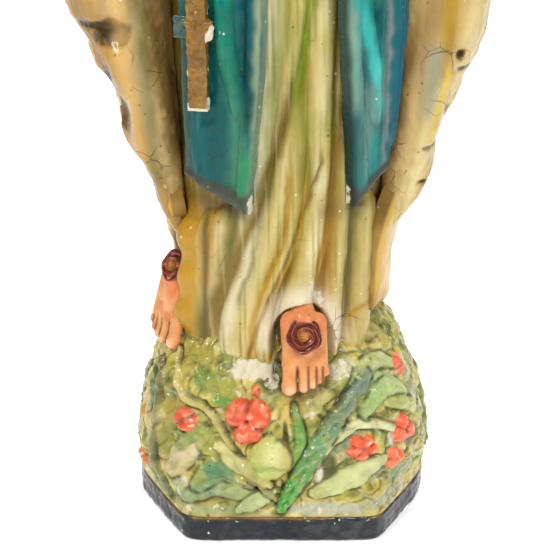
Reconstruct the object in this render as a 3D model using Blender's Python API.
"""A madonna statue of cast and painted plaster: castings, reinforcement and applied relief.

The frame is +Z up, with the origin under the middle of the plinth and the figure facing -Y.
Sizes are in millimetres, and each mesh is turned into metres as it is made.
The figure's tables give heights above the gown's hem, and widths from the upright axis.
"""

import math

import bmesh
import bpy
from mathutils import Matrix, Vector

# Driving sizes, in millimetres.
GAP = 0.3
PLINTH_WIDTH = 104.0
PLINTH_DEPTH = 88.0
PLINTH_HEIGHT = 10.0
PLINTH_FRONT_EDGE = 66.0
PLINTH_SIDE_EDGE = 20.0
SEAT_HEIGHT = 52.0  # from the plinth's top to the gown's hem
RIM_HEIGHT = 9.0  # how far the mound's rim rises round the hem
STATURE = 338.0  # from the hem to the top of the head
FIGURE_WIDTH = 140.0
FIGURE_DEPTH = 79.0
MANTLE_THICKNESS = 2.4
CLOAK_THICKNESS = 2.6
FOLD_HEIGHT = 4.2
ROD_RADIUS = 2.0
ROD_TOP = 292.0  # above the hem
ROD_FOOT = 14.0  # above the ground
PIN_RADIUS = 0.7
PIN_LENGTH = 13.0
BORE_CLEARANCE = 0.3
PLATE_RADIUS = 24.0
PLATE_THICKNESS = 3.0
CROSS_HEIGHT = 38.0
CROSS_SPAN = 15.0
CROSS_BEAM = 6.6
CROSS_THICKNESS = 3.0
BEAD_RADIUS = 1.25
CORD_RADIUS = 0.6
FOOT_LENGTH = 31.0
FOOT_WIDTH = 16.5
ROSE_RADIUS = 5.6
ROSE_HEIGHT = 3.6
HEAD_WIDTH = 32.0
HEAD_DEPTH = 39.0
HEAD_HEIGHT = 49.0
HAND_LENGTH = 37.0

# What the figure's tables were drawn at, so that they follow the driving sizes.
DRAWN_STATURE = 338.0
DRAWN_WIDTH = 140.0
DRAWN_DEPTH = 79.0
TALL = STATURE / DRAWN_STATURE
WIDE = FIGURE_WIDTH / DRAWN_WIDTH
DEEP = FIGURE_DEPTH / DRAWN_DEPTH
HEM = PLINTH_HEIGHT + SEAT_HEIGHT

# (height above the hem, half width, half depth) of each garment's outline.
GOWN = ((0, 30, 34), (13, 31, 32.5), (33, 32, 30.5), (58, 34, 29), (88, 36, 28), (118, 37, 27),
        (153, 38, 26.5), (178, 33, 24), (196, 26, 20.5), (218, 29, 23), (238, 32, 24),
        (254, 33, 21), (264, 27, 16), (272, 15, 12.5), (280, 12, 11.5))
MANTLE = ((54, 38, 37), (88, 42, 36.8), (118, 44.5, 36), (153, 47, 35.5), (178, 50, 35),
          (200, 52.5, 34.5), (218, 50.5, 33), (238, 47, 30.5), (254, 41, 26.5), (264, 35, 21.5),
          (270, 29, 17))
CLOAK = ((14, 37, 35.5), (33, 38, 35.5), (58, 43, 36), (88, 49, 37.5), (118, 53, 38.5),
         (153, 56, 39), (178, 58, 39.5), (200, 60, 39.5), (218, 58, 38), (238, 54.5, 35.5),
         (254, 48, 31), (264, 42, 27), (272, 36, 24))
GOWN_ROUNDNESS = 2.2
MANTLE_ROUNDNESS = 2.5
CLOAK_ROUNDNESS = 2.2

# The mantle's front opening, (height, x), and how far round each side it reaches, (height, degrees).
OPENING_RIGHT = ((54, -10.7), (120, -5), (173, -12), (200, -20), (228, -19), (253, -13), (270, -9))
OPENING_LEFT = ((54, 23.5), (120, 19), (173, 19), (200, 24), (228, 20), (253, 14), (270, 9))
REACH_RIGHT = ((54, 50), (120, 49), (168, 60), (200, 80), (238, 95), (270, 100))
REACH_LEFT = ((54, 56), (120, 64), (168, 70), (200, 85), (238, 95), (270, 100))
MANTLE_HEM_RIGHT = ((10, 53), (28, 62))  # (x from the middle, height)
MANTLE_HEM_LEFT = ((23, 54), (29, 61), (38, 68))
CLOAK_REACH_RIGHT = ((14, 88), (34, 86), (48, 64), (70, 74), (118, 82), (272, 84))
CLOAK_REACH_LEFT = ((14, 56), (45, 58), (70, 74), (118, 82), (272, 84))

# The gown's folds: each ridge as (height, x) stops, its half width and its share of FOLD_HEIGHT.
GOWN_RIDGES = (
    (((0, -27), (50, -28)), 3.4, 0.7),
    (((0, -24), (26, -21), (56, -16.7)), 3.4, 0.95),
    (((36, -24), (54, -22.3)), 2.2, 0.7),
    (((0, -15), (12, -16.5), (26, -14.5), (42, -11), (60, -9.3), (96, -5.6), (118, -3.8),
      (188, -7)), 4.6, 1.0),
    (((26, -10), (42, -3.8), (60, -0.3), (78, 0.6), (96, 2), (118, 5.3), (188, 1.5)), 3.2, 0.8),
    (((0, -6.5), (12, -6.9), (26, -3.8), (42, 2.5), (60, 4.3), (78, 5.4)), 2.0, 0.75),
    (((20, 4.2), (42, 9.4), (60, 10.8), (96, 11.3), (118, 11.7), (188, 6.5)), 4.2, 1.0),
    (((20, 14.5), (42, 17), (60, 18.2), (118, 17.4), (188, 11)), 2.6, 0.7),
    (((4, 22), (26, 25.2), (60, 25.7)), 3.6, 0.85),
)
MANTLE_RIDGES = (
    (((54, -12.8), (118, -8.6), (170, -14)), 2.6, 0.4),
    (((80, -11.5), (92, -14), (104, -16.8), (118, -17.6), (170, -20)), 3.2, 0.5),
    (((54, 25.5), (118, 21.5), (170, 22)), 2.4, 0.35),
    (((68, 35), (118, 34.8), (170, 33)), 3.0, 0.5),
)

# The cloak's hanging sides: (height, middle x, middle y, half width, half depth), for the left side.
SIDE_DRAPE = ((38, 33.6, -5, 3.0, 10), (46, 36.5, -4, 4.4, 12), (56, 37.8, -3, 6.0, 15),
              (68, 41, -3, 8.6, 18), (78, 43, -2, 10.3, 20), (88, 44.5, -2, 11.4, 21),
              (98, 47.5, -1, 13.6, 22), (108, 50, -1, 15.8, 23), (116, 51.5, 0, 17.4, 23.5),
              (138, 52.5, 0, 17.5, 24), (163, 53, 0, 15.2, 24), (188, 54, 1, 11.6, 23),
              (208, 54, 2, 8.0, 20), (228, 50.5, 3, 5.5, 16), (243, 46, 4, 3.5, 11))
SIDE_DRAPE_ROUNDNESS = 2.6

# The mound: (share of its height, inset from the plinth's sides, inset from its front and back).
MOUND = ((0.0, 0, 0), (0.16, 0.2, 0.1), (0.33, 1, 0.5), (0.49, 3.2, 1.7), (0.66, 6.2, 3.5),
         (0.77, 9, 5.2), (0.85, 12.5, 7.5), (0.93, 15.5, 11), (1.0, 20, 17))
MOUND_ROUNDNESS = 2.8

# The veil and the room inside it: (height above the hem, half width, half depth).
VEIL = ((272.6, 36, 25), (281, 29.5, 25), (293, 26.5, 26), (308, 26, 27), (323, 23.5, 25),
        (333, 17, 19), (338, 9, 10), (340, 1.5, 1.5))
VEIL_MIDDLE_Y = 3.0
VEIL_ROOM = ((266, 16, 14.5), (283, 17.4, 16), (290, 20, 20), (310, 21.4, 23.6), (326, 18, 21),
             (333, 10.4, 14), (336.5, 3, 8))
VEIL_OPENING_Y = -60.0
HEAD_MIDDLE = (0.0, -2.0, 310.0)
NECK_RADIUS = 10.2
NECK_FOOT = 280.4
HAIR_THICKNESS = 3.6

# The arms: elbow, wrist and finger tips of the left side, (x, y, height above the hem).
ELBOW = (44.0, -15.0, 199.0)
WRIST = (9.5, -36.0, 223.0)
FINGER_TIP = (2.9, -47.0, 259.0)
SLEEVE_RADII = (3.0, 11.5, 13.0, 12.2, 10.8, 9.5)
HAND_SECTIONS = ((0.0, 3.0, 4.6), (0.2, 3.2, 6.3), (0.45, 3.1, 7.0), (0.7, 2.5, 5.8),
                 (0.9, 1.8, 4.0), (1.0, 0.7, 1.4))

# The feet: heel point, direction of the toes and how far along the foot its rose sits.
FEET = {
    "left": ((6.6, -31.0, 84.0), (0.02, -0.45, -0.86), 0.38),
    "right": ((-30.5, -9.0, 89.0), (-0.31, -0.32, -0.86), 0.12),
}
CROSS_PLACE = (-24.3, 109.0)  # (x, height above the hem) of the crucifix's middle
# (x, height above the hem, how far out from the mantle)
ROSARY_LOOP = ((-10.6, 233, 16), (-12.5, 218, 14.5), (-15.5, 206, 9.5), (-18.5, 195, 3.6),
               (-21, 176, 2.2), (-24, 160, 2.2), (-26.8, 156, 2.2), (-29.5, 161, 2.2),
               (-29.6, 177, 2.2), (-26, 196, 4.2), (-20.5, 209, 10.5), (-14, 224, 16))
ROSARY_PENDANT = ((-26.6, 151.5, 2.2), (-25.6, 142, 2.2), (-24.6, 131.5, 2.2))
PENDANT_BEADS = 5
LOOP_BEADS = 34

# Applied relief on the mound: (degrees round from the front, height above the plinth's top) stops,
# the half width and the thickness.
LEAVES = {
    "leaf_long_centre": (((2.6, 8), (13, 23), (23.6, 37), (35, 44), (44.6, 48)), 3.1, 2.4),
    "leaf_short_centre": (((8, 27), (7.2, 33), (6, 40)), 2.2, 1.8),
    "leaf_scroll": (((20.5, 21.5), (24.8, 28), (33, 33.3), (42, 31.8), (50, 27.5)), 2.0, 2.0),
    "leaf_under_bud": (((-34, 11), (-24, 14.6), (-15.5, 13)), 4.2, 1.8),
    "leaf_low_front": (((-31, 4.4), (-18, 5.4), (-6, 5.6)), 2.2, 1.6),
    "leaf_upper_front": (((-36, 31), (-30, 28.5), (-25, 24.5)), 2.2, 1.7),
    "leaf_feather": (((-39, 25), (-43, 20), (-47, 14)), 3.1, 1.8),
    "leaf_side_upper": (((-67, 43), (-63, 38), (-60, 33)), 2.5, 1.6),
    "leaf_strap": (((-57.5, 30), (-57, 20), (-52, 9)), 1.6, 1.6),
    "leaf_low_right": (((16, 8.5), (26, 13), (37, 15)), 3.0, 1.8),
    "leaf_upper_right": (((38, 37.5), (46, 39), (56, 36)), 2.5, 1.7),
    "leaf_middle_right": (((53, 31), (59, 31), (66, 27)), 2.2, 1.6),
}
STEM = (((-52.5, 45.5), (-46, 40.6), (-33, 38), (-27, 32), (-20.4, 24), (-14, 16.5), (-8.7, 12),
         (-1, 6.5)), 1.0, 1.5)
# (degrees round, height above the plinth's top, radius, height, petals)
FLOWERS = {
    "flower_rosette": (-41, 33.6, 3.5, 2.6, 6),
    "flower_front": (-16, 37, 6.3, 3.0, 3),
    "flower_oval": (34, 24, 4.6, 2.6, 5),
    "flower_corner": (52, 16, 4.8, 2.8, 5),
    "flower_upper_right": (62, 45.5, 3.4, 2.2, 4),
    "flower_side": (-66, 11, 3.4, 2.4, 5),
}
BUD = (-4, 23.5, 7.4, 3.6, 0)
BACK_LEAF_ANGLES = (92, 134, 176, 218, 260)
BACK_LEAF = (((-8, 9), (-2, 22), (8, 34)), 3.2, 1.8)
BACK_FLOWER_ANGLES = (113, 155, 197, 239)
BACK_FLOWER = (23, 4.2, 2.6, 5)

# Mesh density.
GOWN_GRID = (46, 19)
MANTLE_GRID = (9, 14)
CLOAK_GRID = (20, 11)
FRONT_CROWDING = 0.5  # 0 spreads the gown's columns evenly, and more brings them to the front

PAINTS = {
    "cream": ((0.74, 0.62, 0.36), 0.35, 0.0),
    "teal": ((0.02, 0.33, 0.33), 0.3, 0.0),
    "flesh": ((0.80, 0.42, 0.22), 0.35, 0.0),
    "hair_brown": ((0.22, 0.11, 0.05), 0.45, 0.0),
    "gilt": ((0.42, 0.26, 0.05), 0.35, 0.3),
    "rose_brown": ((0.22, 0.07, 0.04), 0.3, 0.0),
    "leaf_green": ((0.35, 0.45, 0.18), 0.4, 0.0),
    "coral": ((0.80, 0.20, 0.10), 0.4, 0.0),
    "plinth_black": ((0.05, 0.07, 0.08), 0.35, 0.0),
    "bare_plaster": ((0.80, 0.77, 0.70), 0.8, 0.0),
    "iron": ((0.25, 0.22, 0.20), 0.6, 0.9),
}


def empty_scene():
    """Removes whatever the scene holds."""
    for obj in list(bpy.data.objects):
        bpy.data.objects.remove(obj)


def paint(name):
    """The Principled material of one paint, made once."""
    found = bpy.data.materials.get(name)
    if found:
        return found
    colour, roughness, metallic = PAINTS[name]
    material = bpy.data.materials.new(name)
    material.use_nodes = True
    shader = material.node_tree.nodes["Principled BSDF"]
    shader.inputs["Base Color"].default_value = (*colour, 1.0)
    shader.inputs["Roughness"].default_value = roughness
    shader.inputs["Metallic"].default_value = metallic
    return material


def through(stops, t):
    """The values at t on a smooth curve through stops, each (t, value, ...), level past both ends."""
    if t <= stops[0][0]:
        return stops[0][1:]
    if t >= stops[-1][0]:
        return stops[-1][1:]
    i = next(k for k in range(1, len(stops)) if t <= stops[k][0])
    before, start, end = stops[max(i - 2, 0)], stops[i - 1], stops[i]
    after = stops[min(i + 1, len(stops) - 1)]
    span = end[0] - start[0]
    s = (t - start[0]) / span
    found = []
    for k in range(1, len(start)):
        slope_in = (end[k] - before[k]) / (end[0] - before[0]) * span
        slope_out = (after[k] - start[k]) / (after[0] - start[0]) * span
        found.append((2 * s**3 - 3 * s**2 + 1) * start[k] + (s**3 - 2 * s**2 + s) * slope_in
                     + (3 * s**2 - 2 * s**3) * end[k] + (s**3 - s**2) * slope_out)
    return tuple(found)


def ease(t):
    """0 below 0, 1 above 1 and smooth between."""
    t = min(max(t, 0.0), 1.0)
    return t * t * (3 - 2 * t)


def egg(angle, half_width, half_depth, roundness):
    """The radius at an angle from the front of a rounded outline."""
    side = abs(math.sin(angle) / half_width) ** roundness
    front = abs(math.cos(angle) / half_depth) ** roundness
    return (side + front) ** (-1 / roundness)


def up(height):
    """The z of a height above the hem in the figure's tables."""
    return HEM + height * TALL


def placed(point):
    """A point of the figure's tables, (x, y, height above the hem), in the model's frame."""
    return Vector((point[0] * WIDE, point[1] * DEEP, up(point[2])))


def polar(angle, radius, z):
    """The point at an angle round from the front, a radius and a height."""
    return Vector((radius * math.sin(angle), -radius * math.cos(angle), z))


def outline(table, roundness, angle, height):
    """The radius of a garment's outline at an angle and a height above the hem."""
    half_width, half_depth = through(table, height)
    return egg(angle, half_width * WIDE, half_depth * DEEP, roundness)


def ridges(folds, x, height):
    """How far the highest of some fold ridges stands out at x, as a share of FOLD_HEIGHT."""
    best = 0.0
    for path, half_width, share in folds:
        fade = ease((height - path[0][0]) / 6 + 1) * ease((path[-1][0] - height) / 8 + 1)
        across = (x - through(path, height)[0]) / half_width
        best = max(best, share * fade * (1 - across * across))
    return best


def opening(height, side):
    """The x of the mantle's front edge; side is 1 for the figure's left and -1 for its right."""
    return through(OPENING_LEFT if side > 0 else OPENING_RIGHT, height)[0]


def covered(x, height):
    """1 where the mantle lies on the gown, 0 where the gown shows, and a blend at the border."""
    side = 1 if x > 0 else -1
    inside = ease(side * (x - opening(height, side)) / 4)
    return inside * ease((height - 60) / 14)


def gown_base(angle, height):
    """The gown's radius without its folds."""
    return outline(GOWN, GOWN_ROUNDNESS, angle, height)


def gown_surface(angle, height):
    """The gown's radius with its front folds."""
    base = gown_base(angle, height)
    if math.cos(angle) <= 0:
        return base
    x = base * math.sin(angle) / WIDE
    shown = (1 - covered(x, height)) * ease(math.cos(angle) / 0.35)
    return base + FOLD_HEIGHT * shown * ridges(GOWN_RIDGES, x, height)


def mantle_inside(angle, height):
    """The mantle's inner radius, which clears the gown and the folds that run in under its edge."""
    base = gown_base(angle, height)
    shown = 1 - covered(base * math.sin(angle) / WIDE, height)
    return base + 0.8 + (FOLD_HEIGHT + 0.2) * shown


def mantle_surface(angle, height):
    """The mantle's outer radius, with its own folds."""
    radius = outline(MANTLE, MANTLE_ROUNDNESS, angle, height)
    radius = max(radius, mantle_inside(angle, height) + MANTLE_THICKNESS)
    x = radius * math.sin(angle) / WIDE
    return radius + FOLD_HEIGHT * ridges(MANTLE_RIDGES, x, height) * max(math.cos(angle), 0)


def cloak_inside(angle, height):
    """The cloak's inner radius, which clears the gown below and the mantle above."""
    over_gown = gown_surface(angle, height) + 1.2
    over_mantle = outline(MANTLE, MANTLE_ROUNDNESS, angle, height) + 1.0
    over_mantle = max(over_mantle, mantle_inside(angle, height) + MANTLE_THICKNESS + 1.0)
    blend = ease((height - 140) / 24)
    return over_gown + max(over_mantle - over_gown, 0) * blend


def cloak_surface(angle, height):
    """The cloak's outer radius, with the long folds of its back."""
    radius = outline(CLOAK, CLOAK_ROUNDNESS, angle, height)
    folds = 1.6 * math.cos(angle * 9) * ease(-math.cos(angle) + 0.3)
    return max(radius + folds, cloak_inside(angle, height) + CLOAK_THICKNESS)


def mound_surface(angle, z):
    """The mound's radius at a height above the ground."""
    share = (z - PLINTH_HEIGHT) / (SEAT_HEIGHT + RIM_HEIGHT)
    inset_side, inset_front = through(MOUND, share)
    return egg(angle, PLINTH_WIDTH / 2 - inset_side, PLINTH_DEPTH / 2 - inset_front,
               MOUND_ROUNDNESS)


def mound_frame(angle, z):
    """The point of the mound's surface there, and the direction that it faces."""
    here = polar(angle, mound_surface(angle, z), z)
    round_step = polar(angle + 0.02, mound_surface(angle + 0.02, z), z) - here
    up_step = polar(angle, mound_surface(angle, z + 0.5), z + 0.5) - here
    return here, round_step.cross(up_step).normalized()


def add_object(name, bm, colour, smooth=True):
    """Makes an object of a bmesh in millimetres, in metres and with its own paint."""
    bmesh.ops.recalc_face_normals(bm, faces=bm.faces)
    if bm.calc_volume(signed=True) < 0:
        bmesh.ops.reverse_faces(bm, faces=bm.faces)
    mesh = bpy.data.meshes.new(name)
    bm.to_mesh(mesh)
    bm.free()
    mesh.transform(Matrix.Scale(0.001, 4))
    obj = bpy.data.objects.new(name, mesh)
    bpy.context.scene.collection.objects.link(obj)
    mesh.materials.append(paint(colour))
    if smooth:
        mesh.shade_smooth()
        mesh.set_sharp_from_angle(angle=math.radians(40))
    return obj


def sheet_grid(across, along):
    """A bmesh grid whose vertices run from 0 to 1 in x and y, split the same way at any shape."""
    bm = bmesh.new()
    bmesh.ops.create_grid(bm, x_segments=across, y_segments=along, size=0.5)
    bmesh.ops.translate(bm, verts=bm.verts, vec=(0.5, 0.5, 0))
    bmesh.ops.triangulate(bm, faces=bm.faces, quad_method="FIXED")
    return bm


def wrapped(around, along, point):
    """A closed bmesh: a grid rolled into a tube by point(u, v), its seam welded and its ends closed."""
    bm = sheet_grid(around, along)
    for vertex in bm.verts:
        vertex.co = point(vertex.co.x, vertex.co.y)
    bmesh.ops.remove_doubles(bm, verts=bm.verts, dist=1e-3)
    rims = [edge for edge in bm.edges if edge.is_boundary]
    if rims:
        bmesh.ops.holes_fill(bm, edges=rims, sides=0)
    return bm


def layer(across, along, inside, outside):
    """A closed bmesh between two surfaces, inside(u, v) and outside(u, v)."""
    bm = sheet_grid(across, along)
    under = list(bm.verts)
    grown = bmesh.ops.extrude_face_region(bm, geom=bm.faces[:])
    over = [g for g in grown["geom"] if isinstance(g, bmesh.types.BMVert)]
    bmesh.ops.triangulate(bm, faces=bm.faces, quad_method="FIXED")
    for vertices, surface in ((under, inside), (over, outside)):
        for vertex in vertices:
            vertex.co = surface(vertex.co.x, vertex.co.y)
    return bm


def as_cutter(obj):
    """Hides a shape that only cuts others."""
    obj.hide_render = True
    obj.display_type = "WIRE"
    return obj


def island(start):
    """The faces joined to a face."""
    found, front = {start}, [start]
    while front:
        for edge in front.pop().edges:
            fresh = [face for face in edge.link_faces if face not in found]
            found.update(fresh)
            front += fresh
    return found


def cut(obj, *cutters):
    """Takes each cutter away from an object, and drops any crumb that this leaves beside it."""
    for cutter in cutters:
        modifier = obj.modifiers.new("cut_" + cutter.name, "BOOLEAN")
        modifier.operation = "DIFFERENCE"
        modifier.solver = "EXACT"
        modifier.object = cutter
    bpy.context.view_layer.update()
    seen = obj.evaluated_get(bpy.context.evaluated_depsgraph_get())
    bm = bmesh.new()
    bm.from_mesh(seen.to_mesh())
    left, islands = set(bm.faces), []
    while left:
        islands.append(island(next(iter(left))))
        left -= islands[-1]
    islands.sort(key=lambda faces: sum(face.calc_area() for face in faces))
    crumbs = {vertex for faces in islands[:-1] for face in faces for vertex in face.verts}
    bmesh.ops.delete(bm, geom=list(crumbs), context="VERTS")
    seen.to_mesh_clear()
    obj.modifiers.clear()
    bm.to_mesh(obj.data)
    bm.free()


def rod(name, start, end, radius, colour, sides=12):
    """A round rod from one point to another, in millimetres."""
    start, end = Vector(start), Vector(end)
    bm = bmesh.new()
    bmesh.ops.create_cone(bm, cap_ends=True, segments=sides, radius1=radius, radius2=radius,
                          depth=(end - start).length)
    obj = add_object(name, bm, colour)
    obj.location = (start + end) / 2 * 0.001
    obj.rotation_euler = (end - start).to_track_quat("Z", "Y").to_euler()
    return obj


def octagon(half_width, half_depth, front_edge, side_edge, z):
    """The plinth's corners at one height, half sizes and edge lengths in millimetres."""
    corners = []
    for x, y in ((front_edge / 2, half_depth), (half_width, side_edge / 2)):
        corners += [Vector((sx * x, sy * y, z)) for sx in (-1, 1) for sy in (-1, 1)]
    return sorted(corners, key=lambda p: math.atan2(p.y, p.x))


def make_plinth():
    """The dark octagonal plinth with a recess below, and the plaster plate that closes it."""
    bm = bmesh.new()
    corners = octagon(PLINTH_WIDTH / 2, PLINTH_DEPTH / 2, PLINTH_FRONT_EDGE, PLINTH_SIDE_EDGE, 0)
    floor = bm.faces.new([bm.verts.new(corner) for corner in corners])
    raised = bmesh.ops.extrude_face_region(bm, geom=[floor])
    top = [g for g in raised["geom"] if isinstance(g, bmesh.types.BMVert)]
    bmesh.ops.translate(bm, verts=top, vec=(0, 0, PLINTH_HEIGHT - GAP))
    upright = [e for e in bm.edges if abs(e.verts[0].co.z - e.verts[1].co.z) > 1]
    bmesh.ops.bevel(bm, geom=upright, offset=5, segments=3, profile=0.5, affect="EDGES",
                    material=-1)
    plinth = add_object("plinth", bm, "plinth_black")
    recess = rod("plinth_recess", (0, 0, -1), (0, 0, PLATE_THICKNESS + GAP),
                 PLATE_RADIUS + GAP, "bare_plaster", 24)
    cut(plinth, as_cutter(recess))
    rod("closing_plate", (0, 0, 0), (0, 0, PLATE_THICKNESS), PLATE_RADIUS, "bare_plaster", 24)


def gown_bmesh(grow=0.0):
    """The gown's casting, or with grow the shape that clears it."""
    def point(u, v):
        turn = (u - 0.5) * 2 * math.pi
        angle = turn - FRONT_CROWDING * math.sin(turn)
        height = v * GOWN[-1][0]
        spare = grow * ((v > 0.999) - (v < 0.001))
        return polar(angle, gown_surface(angle, height) + grow, up(height) + spare)

    return wrapped(*GOWN_GRID, point)


def make_gown(bore, niches):
    """The gown, cast solid round the rod, with a niche for each foot."""
    gown = add_object("gown", gown_bmesh(), "cream")
    cut(gown, bore, *niches)


def make_mound(cutters):
    """The mound, with the socket that the gown stands in."""
    def point(u, v):
        angle = (u - 0.5) * 2 * math.pi
        z = PLINTH_HEIGHT + v * (SEAT_HEIGHT + RIM_HEIGHT)
        return polar(angle, mound_surface(angle, z), z)

    mound = add_object("mound", wrapped(44, 10, point), "leaf_green")
    cut(mound, *cutters)


def mantle_points(side, grow):
    """The inner and outer surfaces of one side of the mantle."""
    hem = MANTLE_HEM_LEFT if side > 0 else MANTLE_HEM_RIGHT
    reach = REACH_LEFT if side > 0 else REACH_RIGHT

    def place(u, v):
        near_x = abs(hem[0][0]) + u * (abs(hem[-1][0]) - abs(hem[0][0]))
        low = through(hem, near_x)[0]
        height = low + v * (MANTLE[-1][0] - low)
        edge = opening(height, side) * WIDE
        first = math.asin(edge / (gown_base(math.asin(edge / 40), height) + 5))
        last = side * math.radians(through(reach, height)[0])
        spare = 0.02 * grow * ((u > 0.999) - (u < 0.001))
        return first + (last - first) * u + side * spare, height

    def inside(u, v):
        angle, height = place(u, v)
        return polar(angle, mantle_inside(angle, height) - 3 * grow, up(height))

    def outside(u, v):
        angle, height = place(u, v)
        return polar(angle, mantle_surface(angle, height) + grow, up(height))

    return inside, outside


def make_mantle(side, cutters=(), grow=0.0):
    """One side of the teal mantle, or with grow the shape that clears it."""
    name = "mantle_left" if side > 0 else "mantle_right"
    inside, outside = mantle_points(side, grow)
    bm = layer(*MANTLE_GRID, inside, outside)
    if grow:
        return as_cutter(add_object(name + "_clearance", bm, "teal"))
    mantle = add_object(name, bm, "teal")
    cut(mantle, *cutters)


def make_cloak(cutters=(), grow=0.0):
    """The cloak over the back, or with grow the shape that clears it."""
    def place(u, v):
        height = CLOAK[0][0] + v * (CLOAK[-1][0] - CLOAK[0][0])
        start = math.radians(through(CLOAK_REACH_LEFT, height)[0])
        end = 2 * math.pi - math.radians(through(CLOAK_REACH_RIGHT, height)[0])
        spare = 0.02 * grow * ((u > 0.999) - (u < 0.001))
        return start + (end - start) * u + spare, height

    def inside(u, v):
        angle, height = place(u, v)
        return polar(angle, cloak_inside(angle, height) - 4 * grow, up(height))

    def outside(u, v):
        angle, height = place(u, v)
        return polar(angle, cloak_surface(angle, height) + grow, up(height))

    bm = layer(*CLOAK_GRID, inside, outside)
    if grow:
        return as_cutter(add_object("cloak_clearance", bm, "cream"))
    cloak = add_object("cloak_back", bm, "cream")
    cut(cloak, *cutters)


def make_side_drape(side, clearances):
    """The hanging side of the cloak, from the forearm to its lowest fold."""
    def point(u, v):
        height = SIDE_DRAPE[0][0] + v * (SIDE_DRAPE[-1][0] - SIDE_DRAPE[0][0])
        x, y, half_width, half_depth = through(SIDE_DRAPE, height)
        angle = u * 2 * math.pi
        radius = egg(angle, half_width * WIDE, half_depth * DEEP, SIDE_DRAPE_ROUNDNESS)
        return Vector((side * x * WIDE, y * DEEP, 0)) + polar(angle, radius, up(height))

    name = "cloak_side_left" if side > 0 else "cloak_side_right"
    drape = add_object(name, wrapped(18, 13, point), "cream")
    cut(drape, *clearances)


def head_bmesh(grow=0.0):
    """The head and neck: an egg with a nose, on a round neck."""
    middle = placed(HEAD_MIDDLE)
    foot = up(NECK_FOOT) - grow
    top = middle.z + HEAD_HEIGHT / 2 + grow

    def point(u, v):
        angle = (u - 0.5) * 2 * math.pi
        z = foot + (top - foot) * v
        rise = (z - middle.z) / (HEAD_HEIGHT / 2 + grow)
        girth = math.sqrt(max(1 - rise * rise, 0)) if rise > -1 else 0
        skull = egg(angle, HEAD_WIDTH / 2, HEAD_DEPTH / 2, 2) * girth
        jaw = 1 - 0.16 * ease(-rise) * (1 + 0.3 * math.cos(angle))
        nose = 2.6 * math.exp(-((angle / 0.13) ** 2) - ((rise + 0.12) / 0.16) ** 2)
        neck = NECK_RADIUS if z < middle.z else 0
        radius = max(skull * jaw, neck) + nose + grow
        if v > 0.999:
            radius = 0
        return polar(angle, radius, z) + Vector((0, middle.y * ease((z - foot) / 20), 0))

    return wrapped(20, 14, point)


def make_head(bore):
    """The head, the hair round it and the veil over both."""
    head = add_object("head", head_bmesh(), "flesh")
    cut(head, bore)
    clearance = as_cutter(add_object("head_clearance", head_bmesh(GAP + 0.1), "flesh"))
    middle = placed(HEAD_MIDDLE)

    hair_bm = bmesh.new()
    bmesh.ops.create_uvsphere(hair_bm, u_segments=18, v_segments=11, radius=1)
    bmesh.ops.scale(hair_bm, verts=hair_bm.verts, vec=(
        HEAD_WIDTH / 2 + HAIR_THICKNESS, HEAD_DEPTH / 2 + HAIR_THICKNESS - 0.6,
        HEAD_HEIGHT / 2 + 1.2))
    bmesh.ops.translate(hair_bm, verts=hair_bm.verts, vec=middle + Vector((0, 2.4, -0.6)))
    hair = add_object("hair", hair_bm, "hair_brown")

    window_bm = bmesh.new()
    bmesh.ops.create_uvsphere(window_bm, u_segments=16, v_segments=10, radius=1)
    bmesh.ops.scale(window_bm, verts=window_bm.verts, vec=(HEAD_WIDTH * 0.42, 26, HEAD_HEIGHT * 0.44))
    bmesh.ops.translate(window_bm, verts=window_bm.verts, vec=middle + Vector((0, -22, -5.5)))
    window = as_cutter(add_object("face_window", window_bm, "flesh"))
    trim_bm = bmesh.new()
    bmesh.ops.create_cube(trim_bm, size=70)
    bmesh.ops.translate(trim_bm, verts=trim_bm.verts, vec=middle + Vector((0, 0, -35 - 18)))
    trim = as_cutter(add_object("hair_trim", trim_bm, "flesh"))
    cut(hair, window, clearance, trim)


def make_veil(clearance):
    """The veil: a dome open at the front, resting on the cloak's shoulders."""
    def dome(u, v):
        angle = u * 2 * math.pi
        height = VEIL[0][0] + v * (VEIL[-1][0] - VEIL[0][0])
        half_width, half_depth = through(VEIL, height)
        radius = egg(angle, half_width * WIDE, half_depth * DEEP, 2.1)
        return polar(angle, radius, up(height)) + Vector((0, VEIL_MIDDLE_Y * DEEP, 0))

    def room(u, v):
        height = VEIL_ROOM[0][0] + v * (VEIL_ROOM[-1][0] - VEIL_ROOM[0][0])
        half_width, back = through(VEIL_ROOM, height)
        angle = (u - 0.5) * 2 * math.pi
        x = half_width * math.sin(angle)
        y = -back * math.cos(angle) if math.cos(angle) < 0 else VEIL_OPENING_Y * math.cos(angle) ** 0.5
        return Vector((x, y, up(height)))

    veil = add_object("veil", wrapped(24, 12, dome), "cream")
    hollow = as_cutter(add_object("veil_room", wrapped(20, 10, room), "cream"))
    cut(veil, hollow, clearance)


def tube(start, end, radii, sides, name, colour):
    """A round tapered tube along a straight line, from evenly spaced radii."""
    start, end = Vector(start), Vector(end)
    turn = (end - start).to_track_quat("Z", "Y")
    stops = tuple((k / (len(radii) - 1), r) for k, r in enumerate(radii))

    def point(u, v):
        radius = through(stops, v)[0]
        angle = u * 2 * math.pi
        return start.lerp(end, v) + turn @ Vector((radius * math.cos(angle),
                                                   radius * math.sin(angle), 0))

    return add_object(name, wrapped(sides, len(radii) + 2, point), colour)


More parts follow.
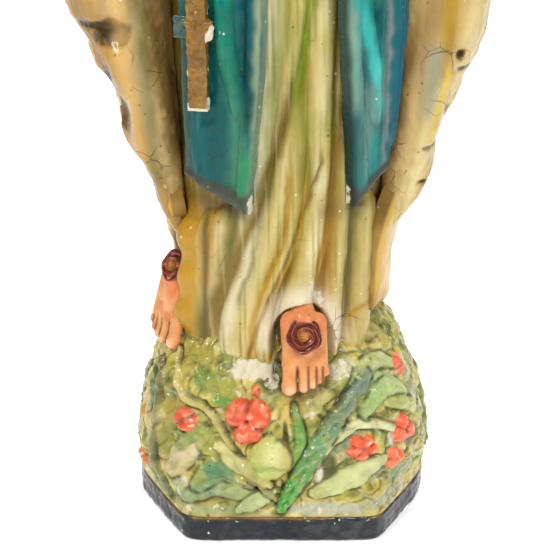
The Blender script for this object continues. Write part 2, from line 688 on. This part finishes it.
def make_arm(side, clearances):
    """One sleeve, the hand at its end and the iron pin that holds them together."""
    name = "left" if side > 0 else "right"
    mirror = Vector((side, 1, 1))
    elbow, wrist, tip = (placed(p) * mirror for p in (ELBOW, WRIST, FINGER_TIP))
    sleeve = tube(elbow, wrist, SLEEVE_RADII, 13, "sleeve_" + name, "cream")
    fore = (wrist - elbow).normalized()
    heel = wrist + Vector((side * -5.0, -4.0, 2.2))
    reach = tip - heel
    reach *= HAND_LENGTH / reach.length
    breadth = Vector((0, reach.z, -reach.y)).normalized()
    turn = Matrix((Vector((1, 0, 0)), breadth, reach.normalized())).transposed()

    def point(u, v):
        thick, broad = through(HAND_SECTIONS, v)
        angle = u * 2 * math.pi
        return heel + reach * v + turn @ Vector((thick * math.cos(angle),
                                                 broad * math.sin(angle), 0))

    hand = add_object("hand_" + name, wrapped(12, 8, point), "flesh")
    root = heel + reach * 0.05
    ends = (root - fore * PIN_LENGTH * 0.6, root + reach.normalized() * 2)
    axis = (ends[1] - ends[0]).normalized()
    rod("wrist_pin_" + name, ends[0], ends[1], PIN_RADIUS, "iron", 8)
    bore = as_cutter(rod("wrist_bore_" + name, ends[0] - axis * 0.5, ends[1] + axis * 0.5,
                         PIN_RADIUS + BORE_CLEARANCE, "iron", 8))
    palm = as_cutter(add_object("hand_clearance_" + name, hand_clearance(point, heel, GAP), "flesh"))
    cut(sleeve, palm, bore, *clearances)
    cut(hand, bore)


def hand_clearance(point, middle, gap):
    """A hand's shape grown by a gap, to cut the sleeve's mouth with."""
    def grown(u, v):
        place = point(u, v)
        return place + (place - point(u + 0.5, v)).normalized() * gap

    bm = wrapped(12, 8, grown)
    low = [v for v in bm.verts if (v.co - middle).length < 7]
    bmesh.ops.translate(bm, verts=low, vec=(0, 0, -gap))
    return bm


def foot_bmesh(grow=0.0):
    """A bare foot with five toes, its heel at the origin and its toes towards +X, sole down."""
    def point(u, v):
        along = v * FOOT_LENGTH - grow * (v < 0.001)
        angle = u * 2 * math.pi
        share = min(max(v, 0.0), 1.0)
        half_width = FOOT_WIDTH / 2 * (0.62 + 0.42 * ease(share * 1.5) - 0.35 * ease((share - 0.8) / 0.2))
        height = 6.5 - 3.4 * ease(share * 1.25) - 1.2 * ease((share - 0.85) / 0.15)
        y = half_width * math.cos(angle)
        z = height * math.sin(angle) * (1 if math.sin(angle) > 0 else 0.45)
        toe = 1.2 * math.cos(y / FOOT_WIDTH * 10 * math.pi) * ease((share - 0.62) / 0.2)
        return Vector((along + (toe if share > 0.95 else 0), y + grow * math.cos(angle),
                       z + (grow + 0.35 * toe * max(math.sin(angle), 0)) * math.sin(angle)))

    bm = wrapped(22, 9, point)
    if grow:
        for vertex in bm.verts:
            if vertex.co.x > FOOT_LENGTH - 4:
                vertex.co.x += grow
    return bm


def make_foot(name):
    """One foot, the niche that seats it and the rose on its instep."""
    heel, toward, rose_share = FEET[name]
    heel = Vector((heel[0] * WIDE, heel[1] * DEEP, heel[2] + HEM - 62.0))
    forward = Vector(toward).normalized()
    side = forward.cross(Vector((0, 0, 1))).normalized()
    sole_up = side.cross(forward)
    turn = Matrix((forward, -side, sole_up)).transposed().to_4x4()
    place = Matrix.Translation(heel * 0.001) @ turn
    foot = add_object("foot_" + name, foot_bmesh(), "flesh")
    niche = as_cutter(add_object("foot_niche_" + name, foot_bmesh(GAP + 0.2), "flesh"))
    foot.matrix_world = place
    niche.matrix_world = place

    def petal(u, v):
        angle = u * 2 * math.pi
        swirl = 1 + 0.07 * math.cos(5 * angle + 4 * v)
        radius = ROSE_RADIUS * math.cos(v * math.pi / 2) ** 0.7 * swirl
        return Vector((radius * math.cos(angle), radius * math.sin(angle), ROSE_HEIGHT * v ** 0.8))

    rose = add_object("rose_" + name, wrapped(15, 5, petal), "rose_brown")
    seat = heel + forward * FOOT_LENGTH * rose_share + sole_up * 4.6
    rose.matrix_world = Matrix.Translation(seat * 0.001) @ turn
    cut(rose, niche)
    rose_clearance = rod("rose_niche_" + name, seat, seat + sole_up * (ROSE_HEIGHT + 1.2),
                         ROSE_RADIUS * 1.12, "flesh", 15)
    return niche, as_cutter(rose_clearance)


def on_mantle(x, height, out):
    """A point a little way outside the right side of the mantle, and the direction that it faces."""
    angle = math.asin(x * WIDE / (DRAWN_DEPTH * DEEP / 2))
    for _ in range(6):
        radius = mantle_surface(angle, height)
        angle = math.asin(max(min(x * WIDE / radius, 0.99), -0.99))
    here = polar(angle, radius, up(height))
    step = polar(angle + 0.05, mantle_surface(angle + 0.05, height), up(height)) - here
    facing = Vector((step.y, -step.x, 0)).normalized()
    return here + facing * out, facing


def make_crucifix():
    """The crucifix that hangs from the rosary, against the mantle."""
    arm = CROSS_BEAM / 2
    top, foot, span = CROSS_HEIGHT * 0.42, -CROSS_HEIGHT * 0.58, CROSS_SPAN / 2
    corners = ((arm, foot), (arm, -arm + 3), (span, -arm + 3), (span, arm + 3), (arm, arm + 3),
               (arm, top))
    corners += tuple((-x, z) for x, z in reversed(corners))
    bm = bmesh.new()
    face = bm.faces.new([bm.verts.new((x, 0, z)) for x, z in corners])
    raised = bmesh.ops.extrude_face_region(bm, geom=[face])
    front = [g for g in raised["geom"] if isinstance(g, bmesh.types.BMVert)]
    bmesh.ops.translate(bm, verts=front, vec=(0, -CROSS_THICKNESS, 0))
    rim = [e for e in bm.edges if all(v.co.y < -CROSS_THICKNESS / 2 for v in e.verts)]
    bmesh.ops.bevel(bm, geom=rim, offset=0.9, segments=2, profile=0.5, affect="EDGES", material=-1)
    cross = add_object("crucifix", bm, "gilt")
    place, facing = on_mantle(CROSS_PLACE[0], CROSS_PLACE[1], 1.9)
    cross.location = place * 0.001
    cross.rotation_euler = (0, 0, math.atan2(facing.x, -facing.y))


def beaded(name, path, beads, ring):
    """A cord with beads along a path, cast in one: open, or closed into a ring."""
    stops = list(path) + ([path[0]] if ring else [])
    timed = tuple((float(k), *on_mantle(*stop)[0]) for k, stop in enumerate(stops))
    last = len(stops) - 1
    steps = beads * 2

    def point(u, v):
        t = (v * last) % last if ring else v * last
        here, ahead = (Vector(through(timed, min(max(t + d, 0), last))) for d in (0, 0.02))
        behind = Vector(through(timed, max(t - 0.02, 0)))
        turn = (ahead - behind).to_track_quat("Z", "Y")
        swell = max(0.0, math.sin(v * beads * math.pi)) ** 2
        radius = CORD_RADIUS + (BEAD_RADIUS - CORD_RADIUS) * swell
        angle = u * 2 * math.pi
        return here + turn @ Vector((radius * math.cos(angle), radius * math.sin(angle), 0))

    add_object(name, wrapped(5, steps, point), "gilt")


def relief_leaf(name, stops, half_width, thickness, turn=0.0):
    """A leaf laid on the mound along a path of (degrees, height above the plinth) stops."""
    timed = tuple((float(k), *stop) for k, stop in enumerate(stops))

    def place(u, v):
        t = v * (len(stops) - 1)
        degrees, height = through(timed, t)
        ahead = through(timed, min(t + 0.05, len(stops) - 1))
        behind = through(timed, max(t - 0.05, 0))
        z = PLINTH_HEIGHT + height
        around = mound_surface(math.radians(degrees + turn), z) * math.radians(1)
        way = Vector(((ahead[0] - behind[0]) * around, ahead[1] - behind[1])).normalized()
        width = half_width * (0.12 + 0.88 * math.sin(math.pi * (0.04 + 0.92 * v)) ** 0.8)
        across = (u - 0.5) * 2 * width
        degrees += -way.y * across / around
        return math.radians(degrees + turn), z + way.x * across

    def inside(u, v):
        here, facing = mound_frame(*place(u, v))
        return here + facing * (GAP + 0.15)

    def outside(u, v):
        here, facing = mound_frame(*place(u, v))
        crown = 1 - abs(u - 0.5) * 1.3
        return here + facing * (GAP + 0.45 + thickness * crown * math.sin(math.pi * (0.08 + 0.84 * v)))

    add_object(name, layer(4, 2 * len(stops) - 1, inside, outside), "leaf_green")


def relief_flower(name, degrees, height, radius, rise, petals, colour="coral"):
    """A flower or bud seated on the mound, facing outwards."""
    here, facing = mound_frame(math.radians(degrees), PLINTH_HEIGHT + height)
    sag = radius * radius / PLINTH_DEPTH

    def point(u, v):
        angle = u * 2 * math.pi
        lobes = 1 - 0.16 * (1 - abs(math.cos(petals * angle / 2))) if petals else 1.0
        spread = radius * math.cos(v * math.pi / 2) ** 0.6 * lobes
        return Vector((spread * math.cos(angle), spread * math.sin(angle), rise * v))

    obj = add_object(name, wrapped(max(14, petals * 3), 4, point), colour)
    obj.location = (here + facing * (GAP + sag)) * 0.001
    obj.rotation_euler = facing.to_track_quat("Z", "Y").to_euler()


def make_relief():
    """The leaves, stem, bud and flowers on the mound."""
    for name, (stops, half_width, thickness) in LEAVES.items():
        relief_leaf(name, stops, half_width, thickness)
    relief_leaf("stem_front", *STEM)
    for name, flower in FLOWERS.items():
        relief_flower(name, *flower)
    relief_flower("bud_front", *BUD, colour="leaf_green")
    for k, angle in enumerate(BACK_LEAF_ANGLES):
        relief_leaf(f"leaf_back_{k + 1}", *BACK_LEAF, turn=angle)
    for k, angle in enumerate(BACK_FLOWER_ANGLES):
        relief_flower(f"flower_back_{k + 1}", angle, *BACK_FLOWER)


def main():
    """Builds the statue from the plinth up."""
    empty_scene()
    make_plinth()
    foot, top = (0, 0, ROD_FOOT), (0, 0, up(ROD_TOP))
    rod("armature_rod", foot, top, ROD_RADIUS, "iron")
    bore = as_cutter(rod("rod_bore", (0, 0, ROD_FOOT - 1), (0, 0, up(ROD_TOP) + 1),
                         ROD_RADIUS + BORE_CLEARANCE, "iron"))
    niches = [shape for name in FEET for shape in make_foot(name)]
    gown_clearance = as_cutter(add_object("gown_clearance", gown_bmesh(GAP + 0.2), "cream"))
    make_mound([gown_clearance, bore, *niches])
    make_gown(bore, niches)
    for side in (1, -1):
        make_mantle(side, [gown_clearance])
    mantle_clearances = [make_mantle(side, grow=GAP + 0.3) for side in (1, -1)]
    make_cloak(niches + mantle_clearances)
    around = [gown_clearance, *mantle_clearances, make_cloak(grow=GAP + 0.4)]
    for side in (1, -1):
        make_side_drape(side, around + niches)
        make_arm(side, [gown_clearance, *mantle_clearances])
    make_head(bore)
    make_veil(gown_clearance)
    make_crucifix()
    beaded("rosary_loop", ROSARY_LOOP, LOOP_BEADS, True)
    beaded("rosary_pendant", ROSARY_PENDANT, PENDANT_BEADS, False)
    make_relief()


main()
